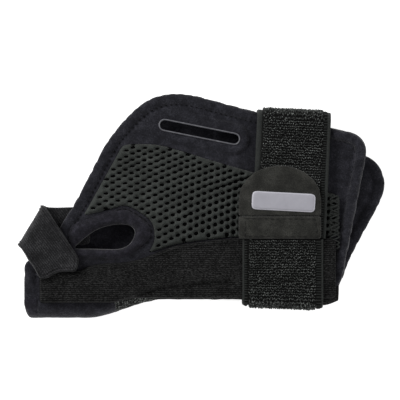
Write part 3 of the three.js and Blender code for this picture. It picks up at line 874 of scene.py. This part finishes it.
class Strap:
    """The wrist strap's inner line, round the splint, with its width at each place.

    turned goes from 0 on the upper stretch, across the back, to 1 on the front stretch.
    """

    def __init__(self):
        self.upper, self.front = box_mm("wrist_strap_upper"), box_mm("wrist_strap_front")
        self.back = box_mm("wrist_strap_back")
        thick = self.back[1][2] - self.back[0][2]
        top = box_mm("wrist_strap_top_fold_upper")[1][1] - thick - PILE_ROOM
        bottom = box_mm("wrist_strap_fold_upper")[0][1] + thick + PILE_ROOM
        over, under, back = self.upper[0][2], self.front[0][2], self.back[1][2]
        corners = [(self.upper[0][1], over), (top, over), (top, back),
                   (bottom, back), (bottom, under), (self.front[1][1], under)]
        self.line = rounded_path(corners, (TOP_TURN, TOP_TURN, BOTTOM_TURN, BOTTOM_TURN))
        self.length = np.r_[0, np.cumsum(np.linalg.norm(np.diff(self.line, axis=0), axis=1))]
        along = np.gradient(self.line, axis=0)
        along /= np.linalg.norm(along, axis=1)[:, None]
        self.out = np.stack([-along[:, 1], along[:, 0]], 1)
        turn_top = np.flatnonzero(self.line[:, 1] < self.back[1][2] + 0.1)
        turned = (np.arange(len(self.line)) - turn_top[0]) / (turn_top[-1] - turn_top[0])
        self.turned = ease(0, 1, turned)

    def sides(self, i):
        """The strap's two edges in x at place i."""
        t = self.turned[i]
        inset = UPPER_INSET * (1 - t)
        return (self.upper[0][0] * (1 - t) + self.front[0][0] * t + inset,
                self.upper[1][0] * (1 - t) + self.front[1][0] * t - inset)

    def askew(self, t, x, y):
        """The upper stretch lies a little clockwise, and the bottom fold runs down to the right."""
        upper, front = 1 - t, t * (y < -30)
        turn_x = STRAP_TURN * (y - self.front[1][1] - 38) * upper
        turn_y = -STRAP_TURN * (x - 48) * upper - STRAP_DROP * (x - STRAP_X) * front * ease(-30, -52, y)
        return x + turn_x, y + turn_y

    def point(self, i, x, height):
        y, z = self.line[i] + self.out[i] * height
        return (*self.askew(self.turned[i], x, y), z)

    def places(self, part):
        """The places of the part that stays put, or of the front stretch, which peels; they share one."""
        cut = int(np.flatnonzero((self.turned >= 1) & (self.line[:, 1] > PEEL_FROM))[0])
        return range(0, cut + 1) if part == "root" else range(cut, len(self.line))

    def span(self, part):
        places = self.places(part)
        return self.length[places[0]], self.length[places[-1]]


strap = Strap()


def on_strap(piece, part):
    """Root half is attached to the root body; the front half is left unattached, its transform baked into its
    points.
    """
    if part == "front":
        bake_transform(piece)
    else:
        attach(piece, "root")
    return piece


def strap_band(name, part, inset, thickness, material, rib, pitch):
    """A lengthwise band of the strap: inset gives its two sides from the strap's edges."""
    rows = []
    for i in strap.places(part):
        a, b = inset(*strap.sides(i))
        high = thickness + rib * math.sin(2 * math.pi * strap.length[i] / pitch)
        e = min(0.5, (b - a) / 4)
        section = ((a, 0.35), (a + e * 0.3, 0.05), (b - e * 0.3, 0.05), (b, 0.35), (b, high - 0.35),
                   (b - e, high), ((a + b) / 2, high + rib * 0.4), (a + e, high), (a, high - 0.35))
        rows.append([strap.point(i, x, h) for x, h in section])
    return on_strap(sweep(name, rows, material, body=None), part)


def pile(name, part, side_gap, seed):
    """Loop pile: rows of small yarn arcs standing on the strap's outer side."""
    draw = random.Random(seed)
    start, end = strap.span(part)
    last = len(strap.line) - 1
    tab_low, tab_high = box_mm("tab_tongue")
    lines = []
    s = start + 0.4
    while s < end - 0.4:
        i = min(int(np.searchsorted(strap.length, s)), last)
        left, right = strap.sides(i)
        hidden = strap.turned[i]
        coarse = 1.45 if 0.02 < hidden < 0.98 else 1.0    # wider apart on the back
        row_height = 1 + 0.3 * math.sin(s * 2 * math.pi / 3.0)
        x = left + side_gap[0] + draw.uniform(0, PILE_PITCH)
        side = 1
        while x < right - side_gap[1]:
            at = s + draw.gauss(0, 0.11)
            k = int(np.clip(np.searchsorted(strap.length, at), 1, last - 1))
            bent = abs(strap.out[k][1]) < 0.9
            tall = draw.uniform(0.9, 1.4) * (1.5 if bent else row_height)
            under_tab = strap.line[k][0] < tab_high[1] + 1 and tab_low[0] - 1 < x < tab_high[0] + 1
            if part == "root" and hidden < 0.01 and under_tab:
                tall *= 0.5
            wide = draw.uniform(0.36, 0.48)
            side = -side
            heading = draw.gauss(0.75, 0.25) * side
            lean = draw.gauss(0, 0.2)
            t = math.pi * np.linspace(0.04, 0.96, 6)
            u = -np.cos(t) * wide
            h = TAPE - 0.25 + np.sin(t) ** 0.8 * tall
            dx = u * math.cos(heading) - lean * (h - TAPE) * math.sin(heading)
            ds = u * math.sin(heading) + lean * (h - TAPE) * math.cos(heading)
            m = np.clip(strap.length[k] + ds, 0, strap.length[-1])
            py, pz, oy, oz = (np.interp(m, strap.length, row) for row in (*strap.line.T, *strap.out.T))
            px, py = strap.askew(hidden, x + dx, py + oy * h)
            lines.append(np.c_[px, py, pz + oz * h])
            x += PILE_PITCH * coarse * draw.uniform(0.9, 1.1)
        s += PILE_ROW * coarse
    # the loops' colour carries painted glints as light grey flecks
    on_strap(thread_tubes(name, lines, 0.21, LOOP_AND_GLINTS, sides=4, body=None), part)


def ladder(name, part, edge, width, pitch=1.3):
    """Cross threads that show as rungs along a selvedge; edge gives its outer side and which way is in."""
    start, end = strap.span(part)
    lines = []
    for s in np.arange(start + 0.5, end - 0.5, pitch):
        i = int(np.searchsorted(strap.length, s))
        x, way = edge(*strap.sides(i))
        lines.append([strap.point(i, x + way * d * width, TAPE + h)
                      for d, h in ((0.0, 0.1), (0.25, 0.35), (0.5, 0.45), (0.8, 0.4), (1.0, 0.0))])
    on_strap(thread_tubes(name, lines, 0.3, SELVEDGE, sides=4, body=None), part)


def wrist_strap():
    taken = {"root": ("wrist_strap_upper", "wrist_strap_top_fold_upper", "wrist_strap_top_fold_lower",
                      "wrist_strap_back", "wrist_strap_fold_lower"),
             "front": ("wrist_strap_fold_upper", "wrist_strap_front")}
    for part, seed in (("root", 21), ("front", 22)):
        name = f"wrist_strap_{part}_"
        near, far = SMOOTH_LEFT[part], SMOOTH_RIGHT[part]
        ground = strap_band(name + "ground", part, lambda a, b: (a + near - 0.3, b - far + 0.3),
                            TAPE, TAPE_GROUND, 0.08, 1.5)
        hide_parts(*taken[part])
        strap_band(name + "left_selvedge", part, lambda a, b: (a, a + near), TAPE + 0.15, SELVEDGE, 0.1, 0.9)
        strap_band(name + "right_selvedge", part, lambda a, b: (b - far, b), TAPE + 0.15, SELVEDGE, 0.1, 0.9)
        ladder(name + "right_rungs", part, lambda a, b: (b - far + 0.3, -1), SELVEDGE_RIGHT - far)
        if part == "front":
            ladder(name + "left_rungs", part, lambda a, b: (a + near - 0.3, 1), SELVEDGE_LEFT - near)
        pile(name + "pile", part, (SELVEDGE_LEFT + 0.4, SELVEDGE_RIGHT - 0.2), seed)


# ---------- tab
def soft_plate(name, node, material, edge=0.8, grow=0.0, lumps=0.1, **kind):
    """A cloth plate with soft edges, filling its CAD node."""
    low, high = box_mm(node)
    panel = Panel(rounded(resample(cap_loops(node)[0], 0.6), 2), spacing=1.6, rings=(0.25, 0.6, 1.1, 1.8))
    rise = ease(-0.15, edge, panel.gap)
    half = (high[2] - low[2]) / 2
    middle = (low[2] + high[2]) / 2
    top = middle + (half + grow) * (0.35 + 0.65 * rise) + ragged(panel.xy, 6, 11.0) * lumps * rise
    bottom = middle - half * (0.5 + 0.5 * rise)
    return panel.shell(name, top, bottom, middle, material, replaces=(node,), **kind)


def film(name, outline, rim, full, raised, bottom, middle, material, **kind):
    """A thin film whose face rises from its edge over a short way."""
    panel = Panel(outline, spacing=1.4, rings=(0.3,))
    top = rim + raised * ease(-0.1, full, panel.gap)
    return panel.shell(name, top, bottom, middle, material, body="tab", slot="label_print", **kind)


def tab():
    """Suede tab at the strap's end: stitched base, tongue, hook patch and blank printed patch."""
    low, high = box_mm("tab_base")
    soft_plate("tab_base_suede", "tab_base", SUEDE, lumps=0.35, body="wrist_strap", slot="microfibre")
    tongue = soft_plate("tab_tongue_suede", "tab_tongue", SUEDE, edge=1.4, grow=0.05, lumps=0.2, body=None,
                        slot="microfibre")
    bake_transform(tongue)
    soft_plate("tab_hook_plate", "tab_hook_patch", HOOK, edge=0.3, lumps=0.0, body="tab", slot="hook_tape")
    top = high[2] + 0.05
    corners = np.array([(low[0] + 3.6, high[1] - 1.2, top), (high[0] - 3.4, high[1] - 1.5, top),
                        (high[0] - 2.2, low[1] + 1.4, top), (low[0] + 3.4, low[1] + 1.4, top)])
    lines = stitch_rows(np.vstack([corners, corners[:1]]), 0.1)
    thread_tubes("tab_base_stitches", lines, THREAD, SUEDE_THREAD, body="wrist_strap", slot="microfibre")
    patch_low, patch_high = (side[2] for side in box_mm("tab_label"))
    label = cap_loops("tab_label")[0]
    film("tab_patch_border", label, patch_high - 0.35, 0.5, 0.25, patch_low - 0.4, patch_high - 0.4,
         LABEL_EDGE, replaces=("tab_label",))
    film("tab_patch_face", offset_line(anticlockwise(resample(label, 0.4)), 0.65, 0.4),
         patch_high - 0.1, 0.4, 0.1, patch_high - 0.4, patch_high - 0.12, LABEL)


# ---------- thumb strap
def thumb_strap():
    """Elastic strap doubled over at its fold, as one piece from back layer to front layer."""
    along = -np.array(joint("thumb_strap_open")["axis"][:2])
    along /= np.linalg.norm(along)
    out = np.array([-along[1], along[0]])
    front_loop, back_loop, fold_loop = (cap_loops("thumb_strap_" + part)[0][:, :2]
                                        for part in ("front", "back", "fold_upper"))
    high_end = back_loop[:, 1].max()
    back_loop[:, 1] += 2.0 * ease(high_end - 9, high_end - 1, back_loop[:, 1])
    outermost = (np.vstack([fold_loop, front_loop]) @ out).max() + 0.9
    (_, front_high), (back_low, _) = box_mm("thumb_strap_front"), box_mm("thumb_strap_back")
    half = 1.0    # of the elastic's thickness
    z_front, z_back = front_high[2] - half, back_low[2] + half
    radius, level = (z_front - z_back) / 2, (z_front + z_back) / 2
    bend = math.pi * radius
    flat_from = 4.3    # inwards from the fold, both layers lie flat

    def unrolled(loop, side):
        """The layer's outline in strap coordinates, without the part that the fold takes."""
        loop = anticlockwise(resample(loop, 0.5))
        u, s = loop @ along, loop @ out - outermost
        kept = in_order(s < -(flat_from + 0.3))
        u, s = u[kept], s[kept]
        lower_end = -np.sign(along[1])
        if side > 0:
            u = u + 2.0 * lower_end * (u * lower_end > (u * lower_end).mean()) * (1 - ease(5, 15, -s))
        return np.c_[u, (bend / 2 - flat_from - s) * side]

    def direction(part):
        return int(np.sign(part[-1, 0] - part[0, 0]))

    def place(lift):
        """From strap coordinates to the frame: w runs from the back layer round the fold to the front."""
        on_fold = np.abs(w) <= bend / 2
        angle = np.clip(w / bend, -0.5, 0.5) * math.pi
        s = np.where(on_fold, (radius + lift) * np.cos(angle) * 0.96, bend / 2 - np.abs(w)) - flat_from
        z = level + (radius + lift) * np.where(on_fold, np.sin(angle), np.sign(w))
        return np.c_[u[:, None] * along + (s + outermost)[:, None] * out, z]

    front_part, back_part = unrolled(front_loop, 1), unrolled(back_loop, -1)
    if direction(front_part) == direction(back_part):
        back_part = back_part[::-1]
    fold_u = fold_loop @ along
    first, last = (fold_u.max() + 1.2, fold_u.min() - 1.2)[::direction(front_part)]
    round_fold = np.linspace(bend * 0.3, -bend * 0.3, 7)
    outline = np.vstack([front_part, np.c_[np.full(7, first), round_fold],
                         back_part, np.c_[np.full(7, last), -round_fold]])
    panel = Panel(rounded(resample(outline, 0.6), 2), spacing=1.2,
                  rings=(0.3, 0.65, 1.0, 1.4, 1.8, 2.2, 2.6, 3.0, 3.5))
    u, w = panel.xy.T
    rise = ease(-0.1, 0.9, panel.gap)
    thick = (half - 0.1) * (0.4 + 0.6 * rise)
    lumps = ragged(panel.xy, 5, 6.0) * 0.22 * rise
    ridge = 0.75 * (np.exp(-((panel.gap - 1.0) / 0.4) ** 2) + 0.7 * np.exp(-((panel.gap - 2.6) / 0.4) ** 2))
    piece = panel.closed("thumb_strap_elastic", place(np.where(panel.on_edge, 0.0, thick + lumps + ridge)),
                         place(np.where(panel.on_edge, 0.0, -thick)), ELASTIC, body=None, slot="elastic_tape",
                         replaces=("thumb_strap_back", "thumb_strap_fold_lower", "thumb_strap_fold_upper",
                                   "thumb_strap_front"))
    subdivide(piece)
    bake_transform(piece)
    soft_plate("thumb_strap_hook_plate", "thumb_strap_hook_patch", HOOK, edge=0.3, lumps=0.0,
               body="thumb_strap", slot="hook_tape")


# ---------- hidden CAD pieces, which stay as they are
def dress(node, material, bevel=0.0):
    """Gives a CAD piece its material, and its sharp edges a small bevel."""
    piece = frame["nodes"][node]
    piece.data.materials.clear()
    piece.data.materials.append(material)
    if bevel:
        modifier = piece.modifiers.new("edge", "BEVEL")
        modifier.width = bevel * MM
        modifier.segments = 2


hole_surround()
slot_ring()
netting("front_mesh_netting", "front_mesh_panel", True)
netting("back_mesh_netting", "back_mesh_panel", False)
loose_net()
fold_part("fold_hem", -95.4, -88.0, HEM_NAP, 0.25, "hem_fabric", replaces=("fold_spine",), seed=1.0, step=0.5)
fold_part("fold_nap", -88.3, -46.0, NAP, 0.1, "nap_fabric", seed=2.0)
fold_part("fold_mesh", -46.6, -25.0, SPECKLE, 0.1, "spacer_mesh", lumps=0.6, seed=3.0, step=0.6)
fold_part("fold_knit", -25.4, 74.4, KNIT, 0.05, "knit_fabric", seed=4.0)
pocket()
wrist_strap()
tab()
thumb_strap()
dress("stay", METAL, 0.35)
dress("stay_pocket_backing", LINING)


# ---------- camera and light
def camera_and_light():
    scene = bpy.context.scene
    camera = bpy.data.objects.new("camera", bpy.data.cameras.new("camera"))
    scene.collection.objects.link(camera)
    camera.data.lens = 150
    span = (cad_box[1].x - cad_box[0].x) * 1.093
    distance = span * camera.data.lens / camera.data.sensor_width
    aim = Vector((-0.0005, 0.0035, box_mm("front_wing_cover")[1][2] * MM))
    camera.location = aim + Vector((0, 0, distance))
    camera.data.clip_start = 0.01
    scene.camera = camera
    for name, place, size, power in (("key", (-0.66, 0.5, 0.52), 0.42, KEY_POWER),
                                     ("fill", (0.75, -0.2, 0.55), 0.5, FILL_POWER)):
        lamp = bpy.data.lights.new(name, "AREA")
        lamp.size, lamp.energy = size, power
        light = bpy.data.objects.new(name, lamp)
        light.location = place
        light.rotation_euler = (-Vector(place)).to_track_quat("-Z", "Y").to_euler()
        scene.collection.objects.link(light)
    world = bpy.data.worlds.new("studio")
    world.use_nodes = True
    glow = world.node_tree.nodes["Background"].inputs
    glow["Color"].default_value = (1, 1, 1, 1)
    glow["Strength"].default_value = WORLD_POWER
    scene.world = world
    scene.view_settings.view_transform = "Standard"


def floor():
    size = 2000.0
    low = -0.2
    corners = [(-size, -size, low), (size, -size, low), (size, size, low), (-size, size, low)]
    add_mesh("floor", corners, [(0, 1, 2, 3)], FLOOR, smooth=False)


camera_and_light()
floor()
